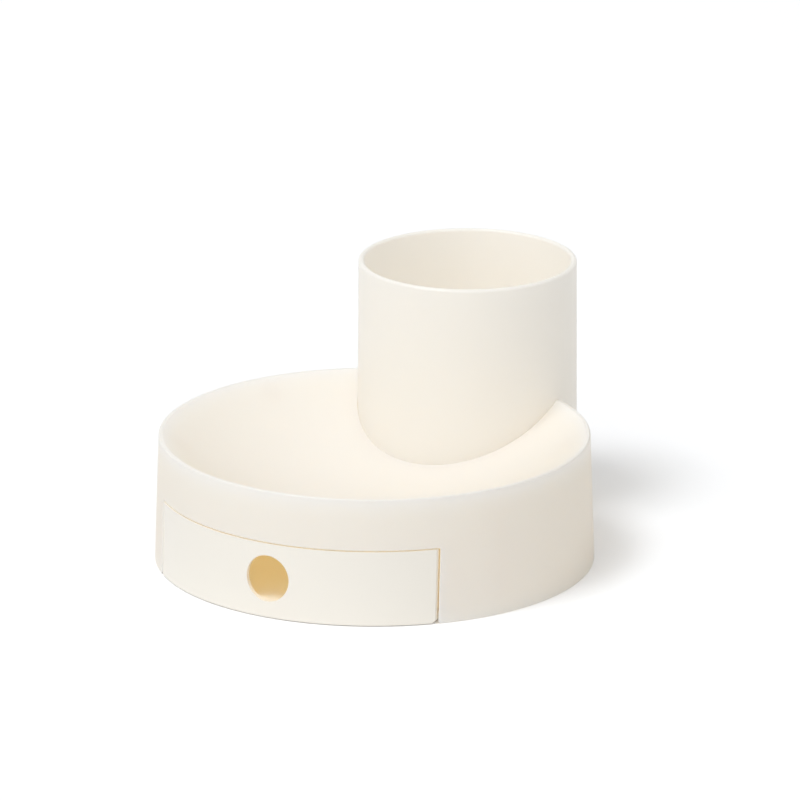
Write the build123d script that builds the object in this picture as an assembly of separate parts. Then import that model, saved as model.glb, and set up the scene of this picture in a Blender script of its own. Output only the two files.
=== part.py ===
from build123d import *
import math
import os

# A round desk organizer: a dished base with a drawer in its front, and a pen cup let into its back.
# Millimetres. +Z is up, the drawer opens towards -Y, and the origin lies on the desk under the
# middle of the footprint.

# Base
base_diameter = 150.0  # across the foot of the wall
base_height = 44.0  # desk to rim
base_draft = 2.05  # degrees that the wall leans in
shell_wall = 2.0  # wall, dish and saddle
rim_land = 1.4  # width of the rim
rim_round_share = 0.3  # of that width, the radius of both its edges
round_share = 0.45  # of a wall, the most that a round on its edge takes
tip_round = 0.3  # ends of the wall beside the cup

# Cup
cup_overhang = 30.0  # behind the foot of the base
cup_diameter = 76.5  # across the foot
cup_height = 88.0  # desk to rim
cup_draft = 0.36  # degrees that the wall leans in
cup_wall = 2.0
cup_floor = 2.0
cup_floor_lift = 11.0  # desk to the underside of the floor
cup_corner = 4.0  # radius between floor and wall
cup_round = 0.9  # rim
cup_fit = 0.1  # all round, in the saddle

# Base plate
foot_proud = 0.2  # pads below the foot of the wall
plate_recess = 0.8  # plate above the foot of the wall
plate_wall = 2.0
plate_gap = 0.3  # plate to wall
runner_height = 0.7
runner_width = 2.0
runner_spread = 60.0  # between the two runners
rail_height = 5.0
rail_wall = 1.6

# Drawer
drawer_span = 90.0  # degrees of the wall that the window takes up
front_height = 25.5
front_lift = 0.2  # front above the foot of the wall
front_round = 0.5
front_corner = 0.8  # chamfer on the lower corners of the front and of the window
seam_side = 0.6
seam_top = 0.35
window_corner = 0.6
window_round = 0.3
finger_hole = 16.0
finger_sill = 0.2  # tray floor to the edge of the hole
finger_round = 0.6
tray_inset = 1.4  # front to tray, each side
tray_height = 14.2
tray_wall = 1.6
tray_floor = 1.7
tray_corner = 6.0
tray_fillet = 2.0
tray_round = 0.4
tray_headroom = 1.2  # tray to the underside of the dish
slide_gap = 0.2  # tray to runners
side_gap = 0.3  # tray to rails
back_gap = 0.3  # tray to saddle
lug_length = 4.0
lug_height = 6.0
lug_gap = 0.6  # lug above the rail
stop_overlap = 1.6  # lug behind the stop
stop_width = 3.4
stop_depth = 1.2
stop_gap = 0.3  # lug to stop with the drawer pulled out

# Screws and pads
screw_shank = 2.5
screw_length = 7.0
screw_head = 5.4
head_height = 1.6
head_round = 0.7
slot_length = 3.2
slot_width = 0.8
slot_depth = 0.9
tip_chamfer = 0.8
head_gap = 0.4
shank_gap = 0.25
pilot_gap = 0.05
pilot_spare = 0.6
boss_diameter = 6.0
boss_gap = 1.0  # lug to boss
boss_inset = 1.5  # boss to wall
web_wall = 1.4
turret_diameter = 9.0
turret_rise = 2.0
seat_wall = 2.2  # turret left above the screw head
cup_screw_spread = 40.0
foot_diameter = 12.0
foot_thickness = 1.5
foot_round = 0.4
foot_inset = 6.0  # pad to edge of plate
front_foot_angle = 45.0  # degrees from the front
rear_foot_angle = 105.0
cup_foot_back = 20.0  # behind the axis of the cup

# Heights above the desk
wall_foot = foot_proud
plate_low = wall_foot + plate_recess
plate_top = plate_low + plate_wall
turret_top = plate_top + turret_rise
screw_seat = turret_top - seat_wall
screw_tip = screw_seat + screw_length
rail_top = plate_top + rail_height
tray_low = plate_top + runner_height + slide_gap
tray_bed = tray_low + tray_floor
tray_top = tray_low + tray_height
front_low = wall_foot + front_lift
front_top = front_low + front_height
window_top = front_top + seam_top
finger_middle = tray_bed + finger_sill + finger_hole / 2
lug_low = rail_top + lug_gap
dish_low = tray_top + tray_headroom + shell_wall
cup_bed = cup_floor_lift + cup_floor

# Places on the plan
overall_depth = base_diameter + cup_overhang
base_y = base_diameter / 2 - overall_depth / 2
cup_y = overall_depth / 2 - cup_diameter / 2
front_y = -overall_depth / 2
inner_radius = base_diameter / 2 - shell_wall
window_half = base_diameter / 2 * math.sin(math.radians(drawer_span / 2))
front_half = window_half - seam_side
tray_half = front_half - tray_inset
rail_inner = tray_half + side_gap
rail_outer = rail_inner + rail_wall
lug_reach = window_half + stop_overlap
stop_outer = window_half + stop_width
stop_face = base_y - math.sqrt(inner_radius**2 - stop_outer**2) + stop_depth
saddle_radius = cup_diameter / 2 + cup_fit + shell_wall
tray_back = cup_y - saddle_radius - back_gap
lug_back = tray_back - tray_corner
lug_front = lug_back - lug_length


def wall_radius(z):
    return base_diameter / 2 - math.tan(math.radians(base_draft)) * (z - wall_foot)


def cup_radius(z):
    return cup_diameter / 2 - math.tan(math.radians(cup_draft)) * (z - wall_foot)


plate_radius = wall_radius(plate_top) - shell_wall - plate_gap
tongue_radius = cup_radius(plate_top) - cup_wall - plate_gap
boss_x = lug_reach + boss_gap + boss_diameter / 2
boss_ring = wall_radius(base_height) - shell_wall - boss_inset - boss_diameter / 2
boss_y = math.sqrt(boss_ring**2 - boss_x**2)
base_screw_places = [(x, base_y + y) for x in (-boss_x, boss_x) for y in (-boss_y, boss_y)]
cup_screw_places = [(x, cup_y) for x in (-cup_screw_spread / 2, cup_screw_spread / 2)]
foot_ring = plate_radius - foot_inset - foot_diameter / 2


def ring_place(degrees):
    angle = math.radians(degrees)
    return foot_ring * math.sin(angle), base_y - foot_ring * math.cos(angle)


foot_places = {
    "foot_front_left": ring_place(-front_foot_angle),
    "foot_front_right": ring_place(front_foot_angle),
    "foot_rear_left": ring_place(-rear_foot_angle),
    "foot_rear_right": ring_place(rear_foot_angle),
    "foot_cup": (0, cup_y + cup_foot_back),
}

# The dish is part of a sphere, which ends at the inner edge of the rim
dish_edge = wall_radius(base_height) - rim_land
dish_depth = base_height - dish_low
dish_radius = (dish_edge**2 + dish_depth**2) / (2 * dish_depth)

FROM_LOW = (Align.CENTER, Align.CENTER, Align.MIN)


def cone(y, radius, low, high, grow=0.0):
    tapered = Cone(radius(low) + grow, radius(high) + grow, high - low, align=FROM_LOW)
    return Pos(0, y, low) * tapered


def post(x, y, radius, low, high):
    return Pos(x, y, low) * Cylinder(radius, high - low, align=FROM_LOW)


def block(xs, ys, zs):
    middle = Pos(sum(xs) / 2, sum(ys) / 2, sum(zs) / 2)
    return middle * Box(xs[1] - xs[0], ys[1] - ys[0], zs[1] - zs[0])


def dish_space(below):
    """The space above a surface that lies this far below the dish."""
    return Pos(0, base_y, dish_low + dish_radius) * Sphere(dish_radius + below)


def pilots(places):
    radius = screw_shank / 2 + pilot_gap
    return [post(x, y, radius, 0, screw_tip + pilot_spare) for x, y in places]


def plate_space():
    return post(0, base_y, plate_radius + plate_gap, 0, plate_top)


def on_jamb(edge):
    return abs(abs(edge.center().X) - window_half) < seam_side


def make_housing():
    body = cone(base_y, wall_radius, wall_foot, base_height) - dish_space(0)
    hollow = cone(base_y, wall_radius, 0, base_height, -shell_wall) - dish_space(shell_wall)
    hollow -= cone(cup_y, cup_radius, 0, base_height, cup_fit + shell_wall)
    body -= hollow
    body -= cone(cup_y, cup_radius, 0, base_height, cup_fit)

    # The two upright edges where the wall meets the cup, then both edges of the rim
    tips = body.edges().filter_by(lambda e: e.length > base_height / 2).sort_by(Axis.Y)[-2:]
    body = fillet(tips, tip_round)
    land = body.faces().filter_by(Axis.Z).sort_by(Axis.Z)[-1]
    body = fillet(land.edges().sort_by(SortBy.LENGTH)[-2:], rim_round_share * rim_land)

    # The window, its foot opened out at both ends, and a round on the outer edges above that
    window = block((-window_half, window_half), (front_y, base_y), (0, window_top))
    window = fillet(window.edges().filter_by(Axis.Y).group_by(Axis.Z)[-1], window_corner)
    body -= window - cone(base_y, wall_radius, 0, base_height, -2 * shell_wall)
    low = [e for e in body.edges().filter_by(Axis.Y).group_by(Axis.Z)[0] if on_jamb(e)]
    body = chamfer(low, front_corner)
    wall = body.faces().filter_by(GeomType.CONE).sort_by(SortBy.AREA)[-1]
    above_foot = wall.edges().filter_by_position(Axis.Z, wall_foot + front_corner, window_top + seam_top)
    body = fillet(above_foot.filter_by_position(Axis.Y, front_y, base_y), window_round)

    # Screw bosses with a web to the wall, and the stops beside the window, all rooted in the shell
    core = cone(base_y, wall_radius, wall_foot, base_height, -shell_wall / 2)
    core -= dish_space(shell_wall / 2)
    for x, y in base_screw_places:
        reach = sorted((x, math.copysign(inner_radius, x)))
        web = block(reach, (y - web_wall / 2, y + web_wall / 2), (turret_top + turret_rise, base_height))
        body += (post(x, y, boss_diameter / 2, turret_top, base_height) + web) & core
    for xs in ((window_half, stop_outer), (-stop_outer, -window_half)):
        body += block(xs, (front_y, stop_face), (plate_top + plate_gap, window_top)) & core

    body -= plate_space()
    for hole in pilots(base_screw_places):
        body -= hole
    return body


def make_cup():
    body = cone(cup_y, cup_radius, wall_foot, cup_height)
    inside = cone(cup_y, cup_radius, cup_bed, cup_height + cup_wall, -cup_wall)
    inside = fillet(inside.edges().filter_by(GeomType.CIRCLE).group_by(Axis.Z)[0], cup_corner)
    body -= inside
    rim = body.edges().filter_by(GeomType.CIRCLE).group_by(Axis.Z)[-1]
    body = fillet(rim, min(cup_round, round_share * cup_wall))

    body -= cone(cup_y, cup_radius, 0, cup_floor_lift, -cup_wall)
    for x, y in cup_screw_places:
        body += post(x, y, boss_diameter / 2, turret_top, cup_floor_lift + cup_floor / 2)
    for hole in pilots(cup_screw_places):
        body -= hole
    return body - plate_space()


def make_plate():
    body = post(0, base_y, plate_radius, plate_low, plate_top)
    body += post(0, cup_y, tongue_radius, plate_low, plate_top)

    # Runners under the tray, and rails beside it
    runner_front = base_y - math.sqrt(plate_radius**2 - runner_spread**2 / 4) + runner_width
    for side in (-1, 1):
        middle = side * runner_spread / 2
        runner = (middle - runner_width / 2, middle + runner_width / 2)
        body += block(runner, (runner_front, tray_back), (plate_low, plate_top + runner_height))
        rail = sorted((side * rail_inner, side * rail_outer))
        body += block(rail, (stop_face + rail_wall, tray_back), (plate_low, rail_top))

    for x, y in base_screw_places + cup_screw_places:
        body += post(x, y, turret_diameter / 2, plate_low, turret_top)
        body -= post(x, y, screw_head / 2 + head_gap, 0, screw_seat)
        body -= post(x, y, screw_shank / 2 + shank_gap, 0, turret_top)
    for x, y in foot_places.values():
        body -= post(x, y, foot_diameter / 2 + plate_gap, 0, foot_thickness)
    return body


def make_drawer():
    inner = cone(base_y, wall_radius, 0, base_height, -shell_wall)
    front = cone(base_y, wall_radius, front_low, front_top) - inner
    front &= block((-front_half, front_half), (front_y, base_y), (front_low, front_top))
    front = chamfer(front.edges().filter_by(Axis.Y).group_by(Axis.Z)[0], front_corner)
    front = fillet(front.faces().sort_by(SortBy.AREA)[-1].edges(), front_round)

    tray = block((-tray_half, tray_half), (front_y, tray_back), (tray_low, tray_top))
    tray = fillet(tray.edges().filter_by(Axis.Z).group_by(Axis.Y)[-1], tray_corner)
    tray &= cone(base_y, wall_radius, 0, base_height, -shell_wall / 2)
    for xs in ((0, lug_reach), (-lug_reach, 0)):
        tray += block(xs, (lug_front, lug_back), (lug_low, lug_low + lug_height))

    pocket_half = tray_half - tray_wall
    pocket = block((-pocket_half, pocket_half), (front_y, tray_back - tray_wall), (tray_bed, front_top))
    pocket = fillet(pocket.edges().filter_by(Axis.Z).group_by(Axis.Y)[-1], tray_corner - tray_wall)
    pocket &= inner
    pocket = fillet(pocket.edges().group_by(Axis.Z)[0], tray_fillet)
    body = front + tray - pocket
    level = body.edges().filter_by_position(Axis.Z, tray_top - tray_round, tray_top + tray_round)
    rim = [e for e in level if e.geom_type == GeomType.LINE or e.radius <= tray_corner]
    body = fillet(rim, min(tray_round, round_share * tray_wall))

    before = body.edges()
    body -= Pos(0, front_y, finger_middle) * Rot(90, 0, 0) * Cylinder(finger_hole / 2, finger_hole)
    lips = [e for e in body.edges() - before if abs(e.center().X) < finger_round]
    return fillet(lips, finger_round)


def make_screw(x, y):
    head = post(x, y, screw_head / 2, screw_seat - head_height, screw_seat)
    head = fillet(head.edges().group_by(Axis.Z)[0], head_round)
    low = screw_seat - head_height
    for wide, deep in ((slot_length, slot_width), (slot_width, slot_length)):
        xs = (x - wide / 2, x + wide / 2)
        ys = (y - deep / 2, y + deep / 2)
        head -= block(xs, ys, (low, low + slot_depth))
    shank = post(x, y, screw_shank / 2, screw_seat, screw_tip)
    shank = chamfer(shank.edges().group_by(Axis.Z)[-1], tip_chamfer)
    return head + shank


def make_foot(x, y):
    pad = post(x, y, foot_diameter / 2, 0, foot_thickness)
    return fillet(pad.edges().group_by(Axis.Z)[0], foot_round)


def save(name, shape):
    export_step(shape, f"parts/{name}.step")


os.makedirs("parts", exist_ok=True)
save("housing_shell", make_housing())
save("pen_cup", make_cup())
save("base_plate", make_plate())
save("drawer", make_drawer())
save("base_screws", Compound([make_screw(x, y).solid() for x, y in base_screw_places]))
save("cup_screws", Compound([make_screw(x, y).solid() for x, y in cup_screw_places]))
for name, (x, y) in foot_places.items():
    save(name, make_foot(x, y))

print("drawer travel", round(lug_front - stop_face - stop_gap, 3))
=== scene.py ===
import bpy
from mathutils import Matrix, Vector


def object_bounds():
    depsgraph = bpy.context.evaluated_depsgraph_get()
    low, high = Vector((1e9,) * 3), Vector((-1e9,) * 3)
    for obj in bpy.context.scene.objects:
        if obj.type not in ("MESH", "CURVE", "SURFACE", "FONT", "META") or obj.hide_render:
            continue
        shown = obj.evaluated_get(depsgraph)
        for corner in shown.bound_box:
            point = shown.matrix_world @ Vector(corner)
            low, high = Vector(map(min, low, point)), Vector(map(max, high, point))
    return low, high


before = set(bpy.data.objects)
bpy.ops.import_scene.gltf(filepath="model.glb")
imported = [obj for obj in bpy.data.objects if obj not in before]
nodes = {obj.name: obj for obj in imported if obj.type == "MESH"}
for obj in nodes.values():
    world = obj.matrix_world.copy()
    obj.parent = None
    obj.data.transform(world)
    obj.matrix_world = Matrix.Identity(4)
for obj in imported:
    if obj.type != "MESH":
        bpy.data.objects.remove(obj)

cad_low, cad_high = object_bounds()

# Base of the organizer, in metres: its wall leans inwards, and its dish is part of a sphere
base_radius = cad_high[0]
base_y = cad_low[1] + base_radius
wall_lean = 0.0358  # inwards, for each metre of height
dish_low = 0.0213
dish_radius = 0.1256

# Depths below the outer faces of wall and dish between which the housing's faces turn to a painted
# warm glow, the warm shade that light takes after many bounces inside the closed drawer
wall_glow_turn = (0.0017, 0.00195)
dish_glow_turn = (0.0010, 0.0016)

# Two near tones of each finish
housing_tones = ((0.990, 0.992, 0.988), (0.996, 0.998, 0.994))
cup_tones = ((0.993, 0.968, 0.913), (0.999, 0.974, 0.919))
drawer_tones = ((0.988, 0.945, 0.857), (0.994, 0.951, 0.863))
plate_tones = ((0.985, 0.961, 0.893), (0.995, 0.971, 0.903))
steel_tones = ((0.50, 0.50, 0.49), (0.62, 0.62, 0.60))
rubber_tones = ((0.60, 0.57, 0.52), (0.68, 0.65, 0.60))
tone_limits = (0.35, 0.65)  # of the noise that the tones drift with

# Share of the light that each moulding lets through
housing_share = 0.30
cup_share = 0.31
drawer_share = 0.02

# Cream plastic
white = (1.0, 1.0, 1.0)
# Painted warm glow: the light that the housing's hidden faces pass on is tinted to stand in for the
# warm shade inside the closed drawer
painted_glow_light = (1.0, 0.945, 0.71)  # passed on by the hidden faces of the housing
# Painted warm shade, given as colour to the housing's hidden faces
painted_glow_tone = (1.0, 0.94, 0.75)  # of those faces
cream_ior = 1.46
grain_height = 0.0001

# Room, floor and key light
room_level = 0.452
room_slope = (0.130, -0.425, 0.21)
floor_width = 40
floor_tone = (0.75, 0.75, 0.75)  # in the light that the floor gives to the object
floor_glow = 0.12  # added where the floor is seen directly
key_direction = (-0.2004, -0.3721, 0.9063)
key_distance = 8.0
key_width = 3.0
key_power = 248.0
key_colour = (0.93, 0.96, 1.0)

# Camera
camera_place = (1.321264, -2.416181, 0.931258)
camera_target = (0.004053, -0.004339, 0.053079)
camera_sensor = 36
camera_lens = 381.195
camera_reach = 60

# Bounces of light: enough of the soft ones to go round inside the closed drawer
soft_bounces = 128
glossy_bounces = 16


# Finishes

def start_finish(name):
    """An empty node material with its shader, and the piece's own coordinates."""
    finish = bpy.data.materials.new(name)
    finish.use_nodes = True
    tree = finish.node_tree
    tree.nodes.clear()
    output = tree.nodes.new("ShaderNodeOutputMaterial")
    shader = tree.nodes.new("ShaderNodeBsdfPrincipled")
    place = tree.nodes.new("ShaderNodeTexCoord")
    tree.links.new(shader.outputs["BSDF"], output.inputs["Surface"])
    return finish, tree, shader, place


def add_noise(tree, place, scale, detail):
    noise = tree.nodes.new("ShaderNodeTexNoise")
    noise.inputs["Scale"].default_value = scale
    noise.inputs["Detail"].default_value = detail
    tree.links.new(place.outputs["Object"], noise.inputs["Vector"])
    return noise


def tint_by(tree, shader, noise, tones):
    """Colour that drifts between two near tones."""
    ramp = tree.nodes.new("ShaderNodeValToRGB")
    for stop, limit, tone in zip(ramp.color_ramp.elements, tone_limits, tones):
        stop.position = limit
        stop.color = (*tone, 1)
    tree.links.new(noise.outputs["Fac"], ramp.inputs["Fac"])
    tree.links.new(ramp.outputs["Color"], shader.inputs["Base Color"])


def roughen_by(tree, shader, noise, low, high):
    spread = tree.nodes.new("ShaderNodeMapRange")
    spread.inputs["To Min"].default_value = low
    spread.inputs["To Max"].default_value = high
    tree.links.new(noise.outputs["Fac"], spread.inputs["Value"])
    tree.links.new(spread.outputs["Result"], shader.inputs["Roughness"])


def emboss_by(tree, shader, noise, strength):
    bump = tree.nodes.new("ShaderNodeBump")
    bump.inputs["Strength"].default_value = strength
    bump.inputs["Distance"].default_value = grain_height
    tree.links.new(noise.outputs["Fac"], bump.inputs["Height"])
    tree.links.new(bump.outputs["Normal"], shader.inputs["Normal"])


def pass_light(tree, shader, share):
    """Lets a share of the light through the wall, as thin pale plastic does."""
    through = tree.nodes.new("ShaderNodeBsdfTranslucent")
    through.inputs["Color"].default_value = (*white, 1)
    mix = tree.nodes.new("ShaderNodeMixShader")
    mix.inputs["Fac"].default_value = share
    tree.links.new(shader.outputs["BSDF"], mix.inputs[1])
    tree.links.new(through.outputs["BSDF"], mix.inputs[2])
    tree.links.new(mix.outputs["Shader"], tree.nodes["Material Output"].inputs["Surface"])


def cream_moulding(name, tones, share):
    """Satin cream plastic, thin enough to glow."""
    finish, tree, shader, place = start_finish(name)
    tint_by(tree, shader, add_noise(tree, place, scale=14, detail=2), tones)
    grain = add_noise(tree, place, scale=700, detail=2)
    roughen_by(tree, shader, grain, low=0.30, high=0.36)
    emboss_by(tree, shader, grain, strength=0.06)
    shader.inputs["IOR"].default_value = cream_ior
    pass_light(tree, shader, share)
    return finish


def reach_from(tree, weights, centre):
    """Distance from a point, or from an upright axis where the last weight is nought."""
    offset = tree.nodes.new("ShaderNodeVectorMath")
    offset.operation = "MULTIPLY_ADD"
    offset.inputs[1].default_value = weights
    offset.inputs[2].default_value = -Vector(centre)
    tree.links.new(tree.nodes["Texture Coordinate"].outputs["Object"], offset.inputs[0])
    reach = tree.nodes.new("ShaderNodeVectorMath")
    reach.operation = "LENGTH"
    tree.links.new(offset.outputs["Vector"], reach.inputs[0])
    return reach.outputs["Value"]


def step_between(tree, value, low, high, first, last):
    """Turns from a first value to a last one while the given value goes from low to high."""
    step = tree.nodes.new("ShaderNodeMapRange")
    step.inputs["From Min"].default_value = low
    step.inputs["From Max"].default_value = high
    step.inputs["To Min"].default_value = first
    step.inputs["To Max"].default_value = last
    tree.links.new(value, step.inputs["Value"])
    return step.outputs["Result"]


def hidden_faces(tree):
    """One on the housing's hidden faces, which lie inside its leaning wall and under its dish,
    where the warm glow is painted.
    """
    split = tree.nodes.new("ShaderNodeSeparateXYZ")
    tree.links.new(tree.nodes["Texture Coordinate"].outputs["Object"], split.inputs["Vector"])
    upright = tree.nodes.new("ShaderNodeMath")
    upright.operation = "MULTIPLY_ADD"
    upright.inputs[1].default_value = wall_lean
    tree.links.new(split.outputs["Z"], upright.inputs[0])
    tree.links.new(reach_from(tree, (1, 1, 0), (0, base_y, 0)), upright.inputs[2])
    wall_start, wall_end = wall_glow_turn
    inside = step_between(
        tree, upright.outputs["Value"], base_radius - wall_end, base_radius - wall_start, 1, 0
    )
    dish_start, dish_end = dish_glow_turn
    from_dish = reach_from(tree, (1, 1, 1), (0, base_y, dish_low + dish_radius))
    under = step_between(tree, from_dish, dish_radius + dish_start, dish_radius + dish_end, 0, 1)
    hidden = tree.nodes.new("ShaderNodeMath")
    hidden.operation = "MULTIPLY"
    tree.links.new(inside, hidden.inputs[0])
    tree.links.new(under, hidden.inputs[1])
    return hidden.outputs["Value"]


def blend_to(tree, factor, colour):
    """A mix that turns to a colour. The caller gives it the colour to start from."""
    mix = tree.nodes.new("ShaderNodeMix")
    mix.data_type = "RGBA"
    mix.inputs["B"].default_value = (*colour, 1)
    tree.links.new(factor, mix.inputs["Factor"])
    return mix


def paint_glow_within(finish):
    """Paints the warm shade of the closed drawer onto the housing's hidden faces: a warmer painted
    tone, and warmer painted light that passes through them.
    """
    tree = finish.node_tree
    hidden = hidden_faces(tree)
    # painted warm glow: tint of the light passed through the hidden faces
    light = blend_to(tree, hidden, painted_glow_light)
    light.inputs["A"].default_value = (*white, 1)
    tree.links.new(light.outputs["Result"], tree.nodes["Translucent BSDF"].inputs["Color"])
    # painted warm shade in the hidden faces' own colour
    face = blend_to(tree, hidden, painted_glow_tone)
    tree.links.new(tree.nodes["Color Ramp"].outputs["Color"], face.inputs["A"])
    tree.links.new(face.outputs["Result"], tree.nodes["Principled BSDF"].inputs["Base Color"])


def matt_moulding(name, tones):
    """The hidden plate: cream plastic from a blasted mould."""
    finish, tree, shader, place = start_finish(name)
    tint_by(tree, shader, add_noise(tree, place, scale=20, detail=3), tones)
    grain = add_noise(tree, place, scale=1500, detail=3)
    roughen_by(tree, shader, grain, low=0.48, high=0.60)
    emboss_by(tree, shader, grain, strength=0.25)
    shader.inputs["IOR"].default_value = cream_ior
    return finish


def plated_steel(name, tones):
    finish, tree, shader, place = start_finish(name)
    tint_by(tree, shader, add_noise(tree, place, scale=260, detail=4), tones)
    roughen_by(tree, shader, add_noise(tree, place, scale=900, detail=3), low=0.24, high=0.38)
    shader.inputs["Metallic"].default_value = 1.0
    return finish


def foam_rubber(name, tones):
    finish, tree, shader, place = start_finish(name)
    tint_by(tree, shader, add_noise(tree, place, scale=90, detail=4), tones)
    grain = add_noise(tree, place, scale=2600, detail=3)
    roughen_by(tree, shader, grain, low=0.78, high=0.92)
    emboss_by(tree, shader, grain, strength=0.5)
    return finish


def dress(node, finish):
    for slot in nodes[node].material_slots:
        slot.material = finish


housing_cream = cream_moulding("housing_cream", housing_tones, housing_share)
# The housing's hidden faces get a painted warm glow, standing in for the shade inside the drawer
paint_glow_within(housing_cream)
dress("housing_shell", housing_cream)
dress("pen_cup", cream_moulding("cup_cream", cup_tones, cup_share))
dress("drawer", cream_moulding("drawer_cream", drawer_tones, drawer_share))
dress("base_plate", matt_moulding("plate_cream", plate_tones))
steel = plated_steel("screw_plating", steel_tones)
for node in ("base_screws", "cup_screws"):
    dress(node, steel)
rubber = foam_rubber("pad_foam", rubber_tones)
for node in nodes:
    if node.startswith("foot_"):
        dress(node, rubber)


# Studio

def seen_directly(tree):
    """One for the rays that show the background: camera, mirror and see-through rays."""
    path = tree.nodes.new("ShaderNodeLightPath")
    seen = path.outputs["Is Camera Ray"]
    for ray in ("Is Glossy Ray", "Is Transmission Ray"):
        either = tree.nodes.new("ShaderNodeMath")
        either.operation = "MAXIMUM"
        tree.links.new(seen, either.inputs[0])
        tree.links.new(path.outputs[ray], either.inputs[1])
        seen = either.outputs["Value"]
    return seen


def light_room():
    """White room light that grows along its slope, before a plain white background."""
    room = bpy.data.worlds.new("studio_room")
    bpy.context.scene.world = room
    room.use_nodes = True
    tree = room.node_tree
    tree.nodes.clear()
    output = tree.nodes.new("ShaderNodeOutputWorld")
    mix = tree.nodes.new("ShaderNodeMixShader")
    fill = tree.nodes.new("ShaderNodeBackground")
    fill.inputs["Color"].default_value = (*white, 1)
    way = tree.nodes.new("ShaderNodeTexCoord")
    along = tree.nodes.new("ShaderNodeVectorMath")
    along.operation = "DOT_PRODUCT"
    along.inputs[1].default_value = room_slope
    tree.links.new(way.outputs["Generated"], along.inputs[0])
    strength = tree.nodes.new("ShaderNodeMath")
    strength.operation = "ADD"
    strength.inputs[1].default_value = room_level
    tree.links.new(along.outputs["Value"], strength.inputs[0])
    tree.links.new(strength.outputs["Value"], fill.inputs["Strength"])
    backdrop = tree.nodes.new("ShaderNodeBackground")
    backdrop.inputs["Color"].default_value = (*white, 1)
    tree.links.new(seen_directly(tree), mix.inputs["Fac"])
    tree.links.new(fill.outputs["Background"], mix.inputs[1])
    tree.links.new(backdrop.outputs["Background"], mix.inputs[2])
    tree.links.new(mix.outputs["Shader"], output.inputs["Surface"])


def floor_paper():
    """Pale paper that is white where it is seen directly, and clear from below."""
    paper = bpy.data.materials.new("floor_paper")
    paper.use_nodes = True
    tree = paper.node_tree
    tree.nodes.clear()
    output = tree.nodes.new("ShaderNodeOutputMaterial")
    plain = tree.nodes.new("ShaderNodeBsdfDiffuse")
    plain.inputs["Color"].default_value = (*floor_tone, 1)
    pale = tree.nodes.new("ShaderNodeBsdfDiffuse")
    pale.inputs["Color"].default_value = (*white, 1)
    glow = tree.nodes.new("ShaderNodeEmission")
    glow.inputs["Color"].default_value = (*white, 1)
    glow.inputs["Strength"].default_value = floor_glow
    lit = tree.nodes.new("ShaderNodeAddShader")
    tree.links.new(pale.outputs["BSDF"], lit.inputs[0])
    tree.links.new(glow.outputs["Emission"], lit.inputs[1])
    above = tree.nodes.new("ShaderNodeMixShader")
    tree.links.new(seen_directly(tree), above.inputs["Fac"])
    tree.links.new(plain.outputs["BSDF"], above.inputs[1])
    tree.links.new(lit.outputs["Shader"], above.inputs[2])
    side = tree.nodes.new("ShaderNodeNewGeometry")
    clear = tree.nodes.new("ShaderNodeBsdfTransparent")
    both = tree.nodes.new("ShaderNodeMixShader")
    tree.links.new(side.outputs["Backfacing"], both.inputs["Fac"])
    tree.links.new(above.outputs["Shader"], both.inputs[1])
    tree.links.new(clear.outputs["BSDF"], both.inputs[2])
    tree.links.new(both.outputs["Shader"], output.inputs["Surface"])
    return paper


def lay_floor():
    bpy.ops.object.select_all(action="DESELECT")
    bpy.ops.mesh.primitive_plane_add(size=floor_width, location=(0, 0, 0))
    floor = bpy.context.object
    floor.name = "studio_floor"
    floor.data.materials.append(floor_paper())


def hang_key():
    """A square softbox that faces the organizer."""
    towards = Vector(key_direction)
    bpy.ops.object.light_add(type="AREA", location=towards.normalized() * key_distance)
    key = bpy.context.object
    key.name = "key_softbox"
    key.data.shape = "SQUARE"
    key.data.size = key_width
    key.data.energy = key_power
    key.data.color = key_colour
    key.rotation_mode = "QUATERNION"
    key.rotation_quaternion = (-towards).to_track_quat("-Z", "Y")


def set_camera():
    bpy.ops.object.camera_add(location=camera_place)
    camera = bpy.context.object
    camera.name = "product_camera"
    camera.data.sensor_width = camera_sensor
    camera.data.lens = camera_lens
    camera.data.clip_end = camera_reach
    camera.rotation_mode = "QUATERNION"
    camera.rotation_quaternion = (Vector(camera_target) - camera.location).to_track_quat("-Z", "Y")
    bpy.context.scene.camera = camera


light_room()
lay_floor()
hang_key()
set_camera()
scene = bpy.context.scene
scene.view_settings.view_transform = "Standard"
scene.cycles.max_bounces = soft_bounces
scene.cycles.diffuse_bounces = soft_bounces
scene.cycles.transmission_bounces = soft_bounces
scene.cycles.glossy_bounces = glossy_bounces
